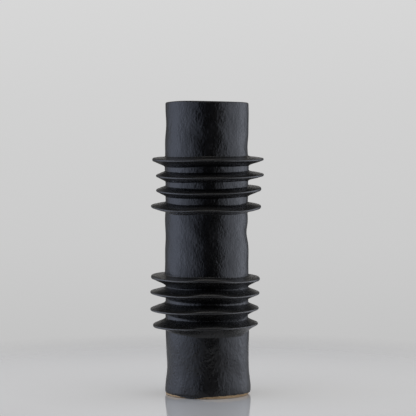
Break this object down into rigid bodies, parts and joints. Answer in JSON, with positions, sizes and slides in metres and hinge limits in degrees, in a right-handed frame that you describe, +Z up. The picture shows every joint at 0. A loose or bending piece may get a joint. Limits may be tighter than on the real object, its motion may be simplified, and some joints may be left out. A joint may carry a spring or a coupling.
{
  "type": "stoneware vase",
  "caption": "Tall black-glazed stoneware cylinder vase for stems or display, with groups of thin pinched flanges round its wall, a plain rounded rim and a bare clay foot.",
  "frame": {"origin": "centre of the foot ring's tread, on the surface that the vase stands on", "axes": "+Z up along the tube's axis, towards the mouth. -Y is the front, the side the picture shows. +X is to the right in the picture."},
  "size_m": [0.1563, 0.1536, 0.404],
  "materials": {
    "black_glaze": "satin",
    "bare_clay": "matte"
  },
  "bodies": {
    "root": {"foot_ring": "bare_clay", "floor_slab": "bare_clay", "corner_coil": "black_glaze", "lower_wall": "black_glaze", "middle_wall": "black_glaze", "upper_wall": "black_glaze", "lower_flange_1": "black_glaze", "lower_flange_2": "black_glaze", "lower_flange_3": "black_glaze", "lower_flange_4": "black_glaze", "upper_flange_1": "black_glaze", "upper_flange_2": "black_glaze", "upper_flange_3": "black_glaze", "upper_flange_4": "black_glaze"}
  },
  "joints": []
}
